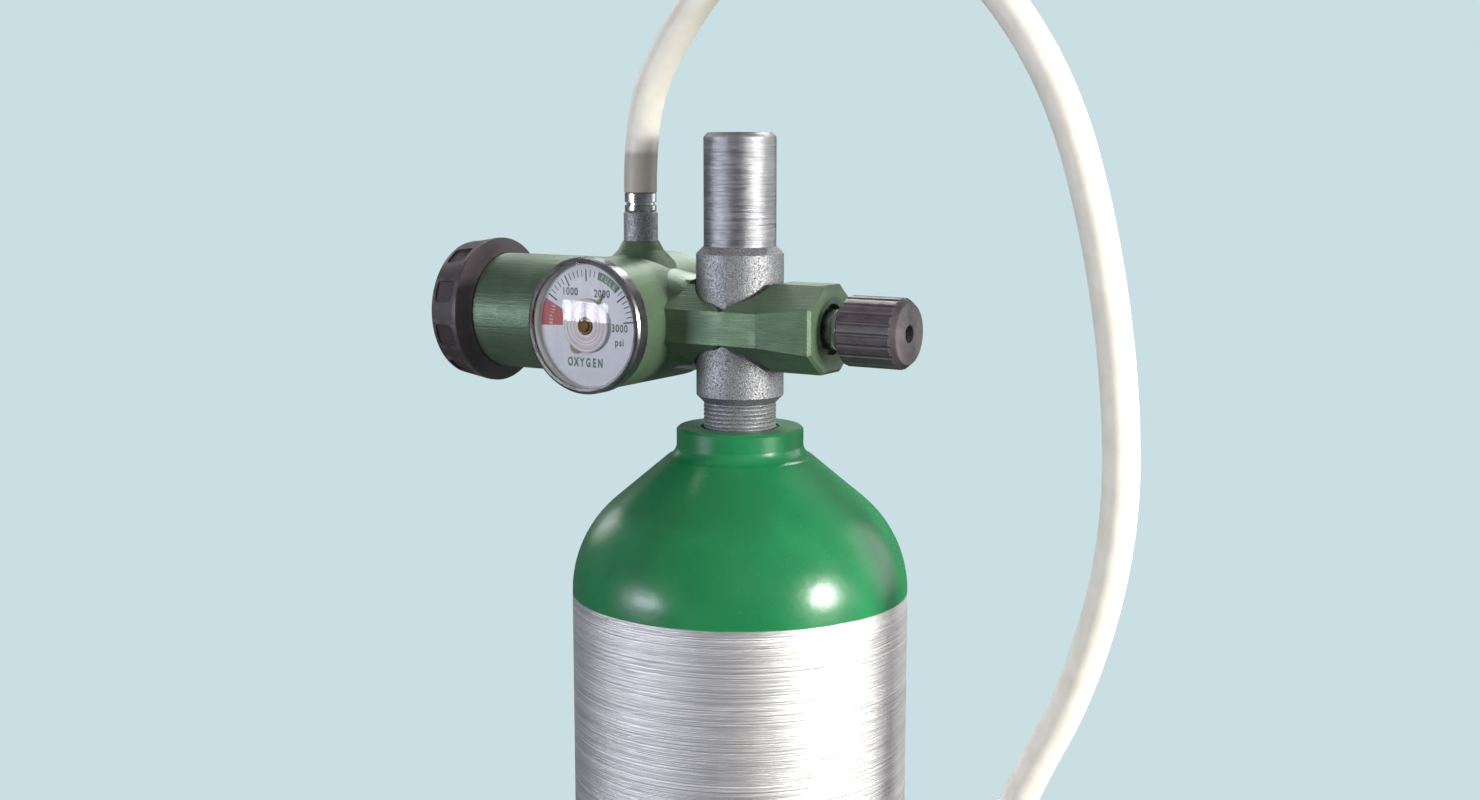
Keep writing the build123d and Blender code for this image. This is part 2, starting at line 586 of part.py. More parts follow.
with BuildPart() as pointer_disc:
    turn([(DISC_Y + 0.5, 1.05), (DISC_Y + 0.5, 8.5), (DISC_Y + 0.2, 8.8), (DISC_Y, 8.5), (DISC_Y, 7.4),
          (DISC_Y + 0.15, 7.25), (DISC_Y, 7.1), (DISC_Y, 6.0), (DISC_Y + 0.15, 5.85), (DISC_Y, 5.7),
          (DISC_Y, 4.6), (DISC_Y + 0.15, 4.45), (DISC_Y, 4.3), (DISC_Y, 1.05)], SECTION_Y, GAUGE_AXIS)
keep("pointer_disc", pointer_disc)

with BuildPart() as pointer_hub:
    turn([(DISC_Y - 0.75, 0), (DISC_Y - 0.75, 1.5), (DISC_Y - 0.5, 1.9), (DISC_Y - 0.35, 1.9),
          (DISC_Y - 0.35, 2.7), (DISC_Y - 0.2, 2.9), (DISC_Y - 0.02, 2.9), (DISC_Y - 0.02, 1.0),
          (POINTER_Y + 0.3, 1.0), (POINTER_Y + 0.3, 0)],
         SECTION_Y, GAUGE_AXIS)
keep("pointer_hub", pointer_hub)

MODULE = 0.5
PINION_TEETH, SECTOR_RATIO = 8, 4
PINION_PR = MODULE * PINION_TEETH / 2
SECTOR_PR = PINION_PR * SECTOR_RATIO
GEAR_LOW, GEAR_HIGH = -22.6, -21.4
SECTOR_X, SECTOR_Z = GAUGE_X, REG_Z - PINION_PR - SECTOR_PR


def tooth(radius, angle):
    """A trapezoid tooth standing on a pitch circle at an angle in degrees, as sketch points."""
    points = []
    for reach, half in ((-0.65, 0.46), (0.0, 0.34), (0.38, 0.16)):
        points.append((radius + reach, half))
    outline = points + [(r, -h) for r, h in reversed(points)]
    a = radians(angle)
    return [(r * cos(a) - h * sin(a), r * sin(a) + h * cos(a)) for r, h in outline]


with BuildPart() as pinion:
    with BuildSketch(Plane(origin=(GAUGE_X, GEAR_LOW, REG_Z), x_dir=(1, 0, 0), z_dir=(0, -1, 0))):
        Circle(PINION_PR - 0.6)
        for i in range(PINION_TEETH):
            with BuildLine():
                Polyline(*tooth(PINION_PR, 90 + (i + 0.5) * 360 / PINION_TEETH), close=True)
            make_face()
    extrude(amount=-(GEAR_HIGH - GEAR_LOW))
    tube_y(POINTER_Y + 0.32, -16.2, 0.8)
keep("pinion", pinion)

with BuildPart() as sector_gear:
    with BuildSketch(Plane(origin=(SECTOR_X, GEAR_LOW, SECTOR_Z), x_dir=(1, 0, 0), z_dir=(0, -1, 0))):
        Circle(1.9)
        with BuildLine():
            rim_line = CenterArc((0, 0), SECTOR_PR - 0.5, 42, 96)
            Polyline(rim_line @ 1, (-1.4, 0), (1.4, 0), rim_line @ 0)
        make_face()
        for i in range(-4, 5):
            with BuildLine():
                Polyline(*tooth(SECTOR_PR, 90 + i * 360 / (PINION_TEETH * SECTOR_RATIO)), close=True)
            make_face()
        with BuildLine():
            Polyline((-1.3, 0), (-1.3, -4.4), (1.3, -4.4), (1.3, 0), close=True)
        make_face()
    extrude(amount=-(GEAR_HIGH - GEAR_LOW))
    with BuildSketch(Plane(origin=(SECTOR_X, GEAR_LOW - 1.2, SECTOR_Z), x_dir=(1, 0, 0), z_dir=(0, -1, 0))):
        Circle(0.8)
    extrude(amount=-4.6)
keep("sector_gear", sector_gear)

PLATES = ((-24.4, -23.9), (-19.8, -19.0))
with BuildPart() as movement_frame:
    for low, high in PLATES:
        with BuildSketch(Plane(origin=(GAUGE_X, low, REG_Z - 4), x_dir=(1, 0, 0), z_dir=(0, -1, 0))):
            RectangleRounded(14, 22, 3)
            with Locations((0, 4), (0, SECTOR_Z - REG_Z + 4)):
                Circle(0.8 + RUNNING, mode=Mode.SUBTRACT)
        extrude(amount=-(high - low))
    with BuildSketch(Plane(origin=(GAUGE_X, PLATES[0][1], REG_Z - 4), x_dir=(1, 0, 0), z_dir=(0, -1, 0))):
        with Locations((-5.4, 9.2), (5.4, 9.2)):
            Circle(1.1)
    extrude(amount=-(PLATES[1][0] - PLATES[0][1]))
    with BuildSketch(Plane(origin=(GAUGE_X, PLATES[1][1], REG_Z), x_dir=(1, 0, 0), z_dir=(0, -1, 0))):
        with Locations((0, 4.6)):
            Rectangle(7.0, 4.8)
    extrude(amount=-3.4)
keep("movement_frame", movement_frame)

with BuildPart() as gauge_socket:
    turn([(-15.6, 0), (-15.6, 5.2), (-10.45, 5.2), (-10.45, 3.95), (-1.2, 3.95), (-1.2, 0)],
         SECTION_Y, GAUGE_AXIS)
    tube_y(-12.0, -1.2, 0.9, mode=Mode.SUBTRACT)
keep("gauge_socket", gauge_socket)

with BuildPart() as bourdon_tube:
    with BuildLine(Plane(origin=(GAUGE_X, -14.6, REG_Z), x_dir=(1, 0, 0), z_dir=(0, -1, 0))):
        curl = CenterArc((0, 0), 14.3, -60, 250)
    with BuildSketch(Plane(origin=curl @ 0, z_dir=curl % 0, x_dir=(0, 1, 0))):
        Ellipse(2.2, 0.9)
    sweep()
keep("bourdon_tube", bourdon_tube)

# ================================================================ hose
turns_deg = []
runs = []
for a, b, c in zip(HOSE_ROUTE, HOSE_ROUTE[1:], HOSE_ROUTE[2:]):
    first, second = Vector(*b) - Vector(*a), Vector(*c) - Vector(*b)
    turns_deg.append(first.get_angle(second))
    runs.append(min(first.length, second.length))
radii = [0.45 * run / tan(radians(angle) / 2) for run, angle in zip(runs, turns_deg)]
print("hose bend radii", [round(r) for r in radii])

with BuildPart() as hose_tube:
    with BuildLine() as hose_line:
        FilletPolyline(*HOSE_ROUTE, radius=radii)
    with BuildSketch(Plane(origin=HOSE_ROUTE[0], z_dir=(0, 0, 1))):
        Circle(HOSE_R)
    sweep(path=hose_line.wire())
keep("hose_tube", hose_tube)
hose_length = hose_line.wire().length
print("hose tube length", round(hose_length), "volume ratio",
      round(hose_tube.part.volume / (pi * HOSE_R**2 * hose_length), 4))

COIL_IN, COIL_OUT = COIL_RADII[-1] - HOSE_R, COIL_RADII[0] + HOSE_R
COIL_AXIS = Axis((COIL_X, COIL_Y, 0), (0, 0, 1))
TOP_TURN = 161  # degrees of the last turn, which lies on the other three
TOP_R = 55.0
COIL_END = 180 - TOP_TURN  # angle where the hose ends
with BuildPart() as hose_coil:
    with BuildSketch(Plane(origin=(COIL_X, COIL_Y, 0), x_dir=(1, 0, 0), z_dir=(0, -1, 0))):
        with BuildLine():
            Polyline((COIL_IN, 3), (COIL_IN + 3, 0), (COIL_OUT - 3, 0), (COIL_OUT, 3), (COIL_OUT, 8),
                     (COIL_OUT - 3, 11), (COIL_IN + 3, 11), (COIL_IN, 8), close=True)
        make_face()
    revolve(axis=COIL_AXIS)
    turned_to = Plane(origin=(COIL_X, COIL_Y, 0), x_dir=(cos(radians(COIL_END)), sin(radians(COIL_END)), 0),
                      z_dir=(sin(radians(COIL_END)), -cos(radians(COIL_END)), 0))
    with BuildSketch(turned_to) as top_section:
        with BuildLine():
            Polyline((TOP_R - 5.8, 10), (TOP_R + 5.8, 10), (TOP_R + 5.8, 18), (TOP_R + 3, 20.6),
                     (TOP_R - 3, 20.6), (TOP_R - 5.8, 18), close=True)
        make_face()
    revolve(top_section.sketch, axis=COIL_AXIS, revolution_arc=TOP_TURN)
keep("hose_coil", hose_coil)

END = radians(COIL_END)
END_POINT = (COIL_X + TOP_R * cos(END), COIL_Y + TOP_R * sin(END), 19.4)
END_PLANE = Plane(origin=END_POINT, z_dir=(sin(END), -cos(END), 0))
with BuildPart() as hose_connector:
    with BuildSketch(END_PLANE):
        Circle(6.4)
    extrude(amount=12)
    with BuildSketch(END_PLANE.offset(12)):
        Circle(6.4)
    with BuildSketch(END_PLANE.offset(36)):
        Circle(8.0)
    loft()
    with BuildSketch(END_PLANE.offset(18)):
        Circle(5.2)
    extrude(amount=20, mode=Mode.SUBTRACT)
keep("hose_connector", hose_connector)


def tie(angle, height):
    """A strap loop round the coil's turns at an angle, standing on the floor."""
    a = radians(angle)
    middle = (COIL_X + COIL_RADII[1] * cos(a), COIL_Y + COIL_RADII[1] * sin(a), height / 2)
    with BuildSketch(Plane(origin=middle, x_dir=(cos(a), sin(a), 0), z_dir=(-sin(a), cos(a), 0))) as loop:
        RectangleRounded(36, height, 5)
        RectangleRounded(34, height - 2, 4, mode=Mode.SUBTRACT)
    extrude(loop.sketch, amount=5, both=True)


with BuildPart() as hose_ties:
    tie(-70, 21.8)
    tie(100, 21.8)
keep("hose_ties", hose_ties)

for name, part in pieces.items():
    export_step(part, f"parts/{name}.step")
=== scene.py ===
"""Oxygen cylinder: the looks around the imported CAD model. Units are metres."""

import json
import math

import bmesh
import bpy
from mathutils import Matrix, Vector


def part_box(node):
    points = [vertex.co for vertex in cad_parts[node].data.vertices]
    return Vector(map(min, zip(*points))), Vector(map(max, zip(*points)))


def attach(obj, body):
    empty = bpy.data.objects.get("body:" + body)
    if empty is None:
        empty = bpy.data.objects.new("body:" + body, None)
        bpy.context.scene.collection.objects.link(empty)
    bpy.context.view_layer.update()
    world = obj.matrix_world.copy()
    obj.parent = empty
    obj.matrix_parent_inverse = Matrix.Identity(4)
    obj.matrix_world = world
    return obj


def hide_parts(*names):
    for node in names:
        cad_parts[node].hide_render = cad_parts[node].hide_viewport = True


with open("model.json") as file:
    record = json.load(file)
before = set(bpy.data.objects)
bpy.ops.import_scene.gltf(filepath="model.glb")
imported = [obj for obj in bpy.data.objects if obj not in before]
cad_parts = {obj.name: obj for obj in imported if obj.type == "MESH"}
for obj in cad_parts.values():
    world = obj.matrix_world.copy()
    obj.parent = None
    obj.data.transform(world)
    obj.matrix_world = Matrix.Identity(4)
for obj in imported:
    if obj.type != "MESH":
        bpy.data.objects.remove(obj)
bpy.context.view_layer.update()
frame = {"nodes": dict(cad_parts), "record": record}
nodes = frame["nodes"]
scene = bpy.context.scene
MM = 0.001

# ---------------------------------------------------------------- camera
CAMERA_AZ, CAMERA_DOWN = 31.5, 8.27  # degrees round from -Y, and below level
CAMERA_REACH, CAMERA_HEIGHT = 0.588, 0.5131
SENSOR, LENS = 36, 44.0  # mm


def make_camera():
    data = bpy.data.cameras.new("camera")
    data.sensor_fit = "HORIZONTAL"
    data.sensor_width = SENSOR
    data.lens = LENS
    data.clip_start = 0.01
    camera = bpy.data.objects.new("camera", data)
    turn = math.radians(CAMERA_AZ)
    camera.location = (CAMERA_REACH * math.sin(turn), -CAMERA_REACH * math.cos(turn), CAMERA_HEIGHT)
    camera.rotation_euler = (math.radians(90 - CAMERA_DOWN), 0, turn)
    scene.collection.objects.link(camera)
    scene.camera = camera


make_camera()

# ---------------------------------------------------------------- hose
HOSE_R = 5.5 * MM
ROUTE = [
    (-39, 0, 494.9), (-39, 0, 514), (-32, 0, 537), (-7, 0, 568), (25, 0, 582), (58, 0, 579),
    (85, 0, 562), (109, 0, 528), (122, 0, 487), (130, 0, 440), (131, 0, 396), (120, 0, 350),
    (102, 0, 314), (85, 0, 270), (74, -6, 222), (70, -22, 176), (72, -42, 132), (76, -57, 102),
    (76, -58, 46), (76, -18, 5.6), (76, 14, 5.6),
]
COIL_X, COIL_Y = 147.5, 32.0
STEP = 20  # degrees between the points of the coil
# The coil's lay: degrees turned, radius and height of the hose's centre, in mm.
COIL_LAY = [
    (0, 71.5, 5.9), (60, 71.5, 6.3), (240, 71.5, 6.3), (360, 60.4, 6.3), (600, 60.4, 6.3), (720, 49.3, 6.3),
    (860, 49.3, 6.3), (950, 54.6, 15.8), (1020, 55.2, 17.0), (1100, 55, 15.9), (1180, 55, 15.9),
    (1241, 55, 19.4),
]


def eased(rows, at):
    """Smooth interpolation down a table whose first column is the position."""
    for low, high in zip(rows, rows[1:]):
        if at <= high[0]:
            t = (at - low[0]) / (high[0] - low[0])
            t = t * t * (3 - 2 * t)
            return [a + (b - a) * t for a, b in zip(low[1:], high[1:])]
    return rows[-1][1:]


def coil_point(swept):
    radius, height = eased(COIL_LAY, swept)
    a = math.radians(180 - swept)
    return (COIL_X + radius * math.cos(a), COIL_Y + radius * math.sin(a), height)


def make_hose():
    last = COIL_LAY[-1][0]
    coil = [coil_point(swept) for swept in range(STEP, last - 5, STEP)] + [coil_point(last)]
    points = [Vector(p) * MM for p in ROUTE + coil]
    curve = bpy.data.curves.new("supply_hose", "CURVE")
    curve.dimensions = "3D"
    line = curve.splines.new("NURBS")
    line.points.add(len(points) - 1)
    for point, spot in zip(line.points, points):
        point.co = (*spot, 1)
        point.radius = HOSE_R
    line.order_u = 3
    line.use_endpoint_u = True
    line.resolution_u = 10
    curve.bevel_depth = 1.0  # times each point's radius, which also sets how far the curve's box reaches
    curve.bevel_resolution = 8
    curve.use_fill_caps = True
    hose = bpy.data.objects.new("supply_hose", curve)
    scene.collection.objects.link(hose)
    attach(hose, "root")
    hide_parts("hose_tube", "hose_coil")
    return hose


hose = make_hose()
# ---------------------------------------------------------------- straps round the coil
STRAP_THICK, STRAP_HALF_WIDTH = 0.7, 5.0
STRAP_GAP = 0.1  # between the hose and the strap
RIM_POINTS = 18  # round each turn of the hose
STRAP_ANGLES = (-70, 100)


def hull(points):
    """The convex outline of some points in a plane, counter-clockwise."""
    points = sorted(set(points))
    chains = []
    for order in (points, points[::-1]):
        chain = []
        for p in order:
            while len(chain) > 1 and cross(chain[-2], chain[-1], p) <= 0:
                chain.pop()
            chain.append(p)
        chains.append(chain[:-1])
    return chains[0] + chains[1]


def cross(a, b, c):
    return (b[0] - a[0]) * (c[1] - a[1]) - (b[1] - a[1]) * (c[0] - a[0])


def strap_outline(angle, gap):
    """The outline of the turns at an angle round the coil, that far off the hose: (radius, height) in mm."""
    reach = HOSE_R / MM + gap
    rim = []
    swept = (180 - angle) % 360
    while swept < COIL_LAY[-1][0]:
        radius, height = eased(COIL_LAY, swept)
        for step in range(RIM_POINTS):
            a = 2 * math.pi * step / RIM_POINTS
            rim.append((radius + reach * math.cos(a), height + reach * math.sin(a)))
        swept += 360
    return hull([(round(r, 3), round(max(h, gap - 0.05), 3)) for r, h in rim])


def offset_outline(outline, amount):
    """The outline moved outwards by that much."""
    moved = []
    count = len(outline)
    for i, (r, h) in enumerate(outline):
        before, after = outline[i - 1], outline[(i + 1) % count]
        side = Vector((after[1] - before[1], before[0] - after[0])).normalized()
        moved.append((r + side.x * amount, max(h + side.y * amount, 0.02)))
    return moved


def add_strap(shape, angle):
    """A flat woven band round the coil's turns, added to a bmesh."""
    a = math.radians(angle)
    out, along = Vector((math.cos(a), math.sin(a), 0)), Vector((-math.sin(a), math.cos(a), 0))
    centre = Vector((COIL_X, COIL_Y, 0))
    inner = strap_outline(angle, STRAP_GAP)
    rows = []
    for side in (-STRAP_HALF_WIDTH, STRAP_HALF_WIDTH):
        for loop in (inner, offset_outline(inner, STRAP_THICK)):
            rows.append([shape.verts.new((centre + out * r + Vector((0, 0, h)) + along * side) * MM)
                         for r, h in loop])
    near_in, near_out, far_in, far_out = rows
    sides = ((near_out, near_in), (far_in, far_out), (near_in, far_in), (far_out, near_out))
    for i in range(-1, len(inner) - 1):
        for first, second in sides:
            shape.faces.new((first[i], first[i + 1], second[i + 1], second[i]))


def make_straps():
    shape = bmesh.new()
    for angle in STRAP_ANGLES:
        add_strap(shape, angle)
    bmesh.ops.recalc_face_normals(shape, faces=shape.faces)
    mesh = bpy.data.meshes.new("hose_straps")
    shape.to_mesh(mesh)
    shape.free()
    pair = bpy.data.objects.new("hose_straps", mesh)
    scene.collection.objects.link(pair)
    edge = pair.modifiers.new("edge", "BEVEL")
    edge.width = 0.2 * MM
    edge.segments = 2
    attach(pair, "root")
    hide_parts("hose_ties")
    return pair


straps = make_straps()


# ---------------------------------------------------------------- material kit
class Finish:
    """A procedural material in the making: a Principled shader and short ways to add nodes to it."""

    def __init__(self, name, **sockets):
        self.material = bpy.data.materials.new(name)
        self.material.use_nodes = True
        self.tree = self.material.node_tree
        self.shader = self.tree.nodes["Principled BSDF"]
        for socket, value in sockets.items():
            self.set(socket.replace("_", " "), value)

    def set(self, socket, value):
        if hasattr(value, "is_output"):
            self.tree.links.new(value, self.shader.inputs[socket])
        elif isinstance(value, tuple) and len(value) == 3 and socket != "Subsurface Radius":
            self.shader.inputs[socket].default_value = (*value, 1)
        else:
            self.shader.inputs[socket].default_value = value

    def add(self, kind, out=0, props=(), **inputs):
        """A node of that kind with its inputs set or linked, and one of its outputs back."""
        node = self.tree.nodes.new(kind)
        for prop, value in dict(props).items():
            setattr(node, prop, value)
        for key, value in inputs.items():
            name = key.replace("_", " ")
            numbered = key[0] == "i" and key[1:].isdigit()
            socket = node.inputs[int(key[1:]) if numbered else name]
            if hasattr(value, "is_output"):
                self.tree.links.new(value, socket)
            elif isinstance(value, tuple) and len(value) == 3 and socket.type == "RGBA":
                socket.default_value = (*value, 1)
            else:
                socket.default_value = value
        return node.outputs[out]

    def place(self, scale=(1, 1, 1), offset=(0, 0, 0)):
        """Object coordinates, which are the row frame's, scaled."""
        spot = self.add("ShaderNodeTexCoord", out=3)
        return self.add("ShaderNodeMapping", Vector=spot, Scale=scale, Location=offset)

    def noise(self, scale, stretch=(1, 1, 1), detail=4.0, rough=0.55):
        return self.add("ShaderNodeTexNoise", Vector=self.place(stretch), Scale=scale, Detail=detail,
                        Roughness=rough)

    def cells(self, scale):
        return self.add("ShaderNodeTexVoronoi", Vector=self.place(), Scale=scale)

    def band(self, value, low, high, to_low=0.0, to_high=1.0):
        """Value mapped from low..high to new limits, clamped, with soft ends."""
        return self.add("ShaderNodeMapRange", props={"interpolation_type": "SMOOTHSTEP"}, Value=value,
                        i1=low, i2=high, i3=to_low, i4=to_high)

    def mix(self, factor, a, b):
        node = self.tree.nodes.new("ShaderNodeMix")
        node.data_type = "RGBA"
        for socket, value in ((0, factor), (6, a), (7, b)):
            if hasattr(value, "is_output"):
                self.tree.links.new(value, node.inputs[socket])
            else:
                node.inputs[socket].default_value = (*value, 1) if isinstance(value, tuple) else value
        return node.outputs[2]

    def math(self, operation, a, b=0.0):
        return self.add("ShaderNodeMath", props={"operation": operation}, i0=a, i1=b)

    def axis(self, name):
        spot = self.add("ShaderNodeTexCoord", out=3)
        return self.add("ShaderNodeSeparateXYZ", out="XYZ".index(name), Vector=spot)

    def bump(self, height, distance, under=None):
        """Relief of that many metres; under is a bump that this one lies on."""
        base = {} if under is None else {"Normal": under}
        normal = self.add("ShaderNodeBump", Height=height, Distance=distance, Strength=1.0, **base)
        self.set("Normal", normal)
        return normal


def rgb(r, g, b):
    """A display colour, 0 to 255, as the linear colour a shader takes."""
    return tuple(((c / 255 + 0.055) / 1.055) ** 2.4 if c > 10 else c / 3295 for c in (r, g, b))


# ---------------------------------------------------------------- materials
PAINT_Z, PAINT_EDGE = 0.3645, 0.0002  # foot of the painted shoulder, and half its edge's softness
REG_Z = 0.4528  # the regulator's axis
GAUGE_X = -0.039
BEZEL_BACK = (-0.0276, -0.0274)  # Y where the bezel ends
BARB_TOP = (0.5070, 0.5095)  # Z where the barb ends inside the hose
DISC_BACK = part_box("pointer_disc")[1][1]
HUB_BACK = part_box("gauge_dial")[0][1]


def cylinder_wall():
    """Brushed aluminium below the paint line, gloss green paint above it."""
    m = Finish("cylinder_wall", IOR=1.5)
    z = m.axis("Z")
    wobble = m.math("MULTIPLY", m.math("SUBTRACT", m.noise(60, detail=3), 0.5), 0.0007)
    paint = m.band(m.math("ADD", z, wobble), PAINT_Z - PAINT_EDGE, PAINT_Z + PAINT_EDGE)
    lines = m.noise(1, (9, 9, 2100), detail=5, rough=0.6)
    broad = m.noise(1, (5, 5, 420), detail=4)
    marks = m.band(m.noise(1, (60, 60, 700), detail=2), 0.68, 0.78)
    metal = m.mix(m.band(lines, 0.3, 0.7), rgb(222, 221, 223), rgb(246, 245, 244))
    metal = m.mix(m.math("MULTIPLY", m.band(broad, 0.35, 0.65), 0.2), metal, rgb(208, 208, 211))
    metal = m.mix(m.math("MULTIPLY", marks, 0.3), metal, rgb(160, 160, 163))
    cloud = m.band(m.noise(28, detail=5), 0.35, 0.7)
    green = m.mix(cloud, rgb(26, 116, 68), rgb(36, 131, 80))
    speck = m.band(m.noise(900, detail=1), 0.7, 0.74)
    green = m.mix(m.math("MULTIPLY", speck, 0.25), green, rgb(70, 150, 110))
    m.set("Base Color", m.mix(paint, metal, green))
    m.set("Metallic", m.band(paint, 0, 1, 1.0, 0.0))
    metal_rough = m.band(lines, 0.2, 0.8, 0.42, 0.54)
    green_rough = m.band(m.noise(40, detail=6), 0.3, 0.7, 0.26, 0.34)
    rough = m.add("ShaderNodeMix", Factor=paint, i2=metal_rough, i3=green_rough)
    m.set("Roughness", rough)
    peel = m.noise(420, detail=2, rough=0.4)
    brushed = m.bump(m.math("MULTIPLY", lines, m.band(paint, 0, 1, 1.0, 0.0)), 0.00034)
    peeled = m.bump(m.math("MULTIPLY", peel, paint), 0.00004, under=brushed)
    m.bump(paint, 0.00012, under=peeled)
    return m.material


def green_finish():
    """Sage green satin finish on machined metal, with the tool's fine lines under it."""
    m = Finish("green_finish", Metallic=0.45, IOR=1.5)
    lines = m.noise(1, (60, 1500, 1500), detail=4, rough=0.65)
    cloud = m.band(m.noise(55, detail=5), 0.3, 0.7)
    base = m.mix(cloud, rgb(86, 108, 86), rgb(104, 128, 100))
    base = m.mix(m.math("MULTIPLY", m.band(lines, 0.35, 0.7), 0.4), base, rgb(76, 94, 76))
    speck = m.band(m.noise(1500, detail=2), 0.64, 0.72)
    base = m.mix(m.math("MULTIPLY", speck, 0.3), base, rgb(150, 166, 144))
    m.set("Base Color", base)
    m.set("Roughness", m.band(m.noise(130, detail=5), 0.3, 0.7, 0.38, 0.5))
    fine = m.bump(lines, 0.00014)
    m.bump(m.noise(1900, detail=2), 0.00003, under=fine)
    return m.material


def cast_metal():
    """Grey sand-cast skin: grains, small pits and worn high spots."""
    m = Finish("cast_metal", Metallic=0.75, IOR=1.5)
    grain = m.noise(1700, detail=5, rough=0.65)
    pits = m.cells(900)
    cloud = m.noise(160, detail=4)
    base = m.mix(m.band(grain, 0.3, 0.7), rgb(120, 122, 126), rgb(186, 187, 190))
    base = m.mix(m.math("MULTIPLY", m.band(cloud, 0.4, 0.7), 0.4), base, rgb(142, 146, 150))
    base = m.mix(m.band(pits, 0.12, 0.3, 0.6, 0.0), base, rgb(70, 72, 75))
    m.set("Base Color", base)
    m.set("Roughness", m.band(grain, 0.3, 0.7, 0.62, 0.42))
    rough = m.bump(grain, 0.00016)
    m.bump(m.band(pits, 0.0, 0.35), 0.00010, under=rough)
    return m.material


def turned_metal():
    """Turned and brushed: fine rings about the cylinder's axis."""
    m = Finish("turned_metal", Metallic=1.0)
    rings = m.noise(1, (70, 70, 1250), detail=5, rough=0.7)
    broad = m.noise(1, (10, 10, 420), detail=3)
    base = m.mix(m.band(rings, 0.25, 0.75), rgb(124, 125, 130), rgb(192, 193, 197))
    base = m.mix(m.math("MULTIPLY", m.band(broad, 0.4, 0.65), 0.4), base, rgb(150, 151, 155))
    m.set("Base Color", base)
    m.set("Roughness", m.band(rings, 0.2, 0.8, 0.34, 0.5))
    deep = m.bump(broad, 0.00008)
    m.bump(rings, 0.00028, under=deep)
    return m.material


def plated(name, dark, light, low, high):
    """Bright metal with faint polishing lines and a little haze, darker on the gauge's bezel."""
    m = Finish(name, Metallic=1.0)
    lines = m.noise(1, (900, 30, 30), detail=4)
    haze = m.noise(220, detail=5)
    base = m.mix(m.band(haze, 0.35, 0.7), dark, light)
    base = m.mix(m.band(m.axis("Y"), *BEZEL_BACK, 1.0, 0.0), base, rgb(140, 141, 144))
    m.set("Base Color", m.mix(m.math("MULTIPLY", m.band(lines, 0.4, 0.7), 0.25), base, dark))
    m.set("Roughness", m.band(haze, 0.3, 0.7, low, high))
    m.bump(lines, 0.00002)
    return m.material


def brass():
    """Brass, a little tarnished; the pointer's hub is browner and duller."""
    m = Finish("brass", Metallic=1.0)
    tarnish = m.noise(140, detail=6)
    lines = m.noise(1, (50, 900, 900), detail=3)
    base = m.mix(m.band(tarnish, 0.35, 0.7), rgb(186, 150, 84), rgb(216, 184, 112))
    base = m.mix(m.math("MULTIPLY", m.band(tarnish, 0.62, 0.8), 0.5), base, rgb(132, 100, 56))
    hub = m.band(m.axis("Y"), HUB_BACK - 0.0002, HUB_BACK, 1.0, 0.0)
    m.set("Base Color", m.mix(hub, base, rgb(112, 90, 56)))
    m.set("Roughness", m.band(m.math("ADD", tarnish, m.math("MULTIPLY", hub, 0.5)), 0.3, 0.9, 0.24, 0.6))
    m.bump(lines, 0.00003)
    return m.material


def sintered_bronze():
    """Little balls of bronze, fused together."""
    m = Finish("sintered_bronze", Metallic=0.8)
    balls = m.cells(2400)
    m.set("Base Color", m.mix(m.band(balls, 0.1, 0.6), rgb(190, 150, 96), rgb(104, 78, 46)))
    m.set("Roughness", m.band(balls, 0.1, 0.6, 0.4, 0.7))
    m.bump(m.band(balls, 0.0, 0.6, 1.0, 0.0), 0.0002)
    return m.material


def moulded(name, dark, light, low, high):
    """Moulded plastic or rubber with a fine grain and slow changes of tone."""
    m = Finish(name)
    tone = m.noise(90, detail=5)
    fine = m.noise(2200, detail=3)
    base = m.mix(m.band(tone, 0.3, 0.7), dark, light)
    m.set("Base Color", m.mix(m.math("MULTIPLY", m.band(fine, 0.45, 0.75), 0.3), base, light))
    m.set("Roughness", m.band(fine, 0.3, 0.7, low, high))
    m.bump(fine, 0.00004)
    return m.material


def knob_plastic():
    """Dark moulded plastic, with a patchy painted highlight along its sharp edges."""
    m = Finish("knob_plastic", IOR=1.5)
    tone = m.noise(70, detail=5)
    fine = m.noise(2600, detail=3)
    base = m.mix(m.band(tone, 0.3, 0.7), rgb(58, 51, 54), rgb(71, 63, 67))
    # Painted highlight: convex edges (found by pointiness) are made paler in patches, imitating light caught
    # on the ridges.
    edge = m.band(m.add("ShaderNodeNewGeometry", out=7), 0.52, 0.62)
    painted_edge_highlight = m.math("MULTIPLY", edge, m.band(m.noise(300, detail=4), 0.35, 0.6, 0.25, 0.8))
    base = m.mix(painted_edge_highlight, base, rgb(116, 106, 110))
    m.set("Base Color", m.mix(m.math("MULTIPLY", m.band(fine, 0.5, 0.75), 0.25), base, rgb(108, 98, 102)))
    m.set("Roughness", m.band(fine, 0.3, 0.7, 0.36, 0.52))
    m.bump(fine, 0.00004)
    return m.material


def clear_lens():
    """Clear moulded window: mostly see-through, with its gloss and a few wipe marks."""
    m = Finish("clear_lens", IOR=2.2)
    wipe = m.noise(1, (400, 30, 60), detail=4)
    m.set("Base Color", m.mix(m.band(wipe, 0.4, 0.7), rgb(60, 62, 70), rgb(84, 86, 96)))
    m.set("Roughness", m.band(wipe, 0.45, 0.75, 0.03, 0.09))
    m.set("Alpha", m.band(wipe, 0.4, 0.75, 0.06, 0.09))
    return m.material


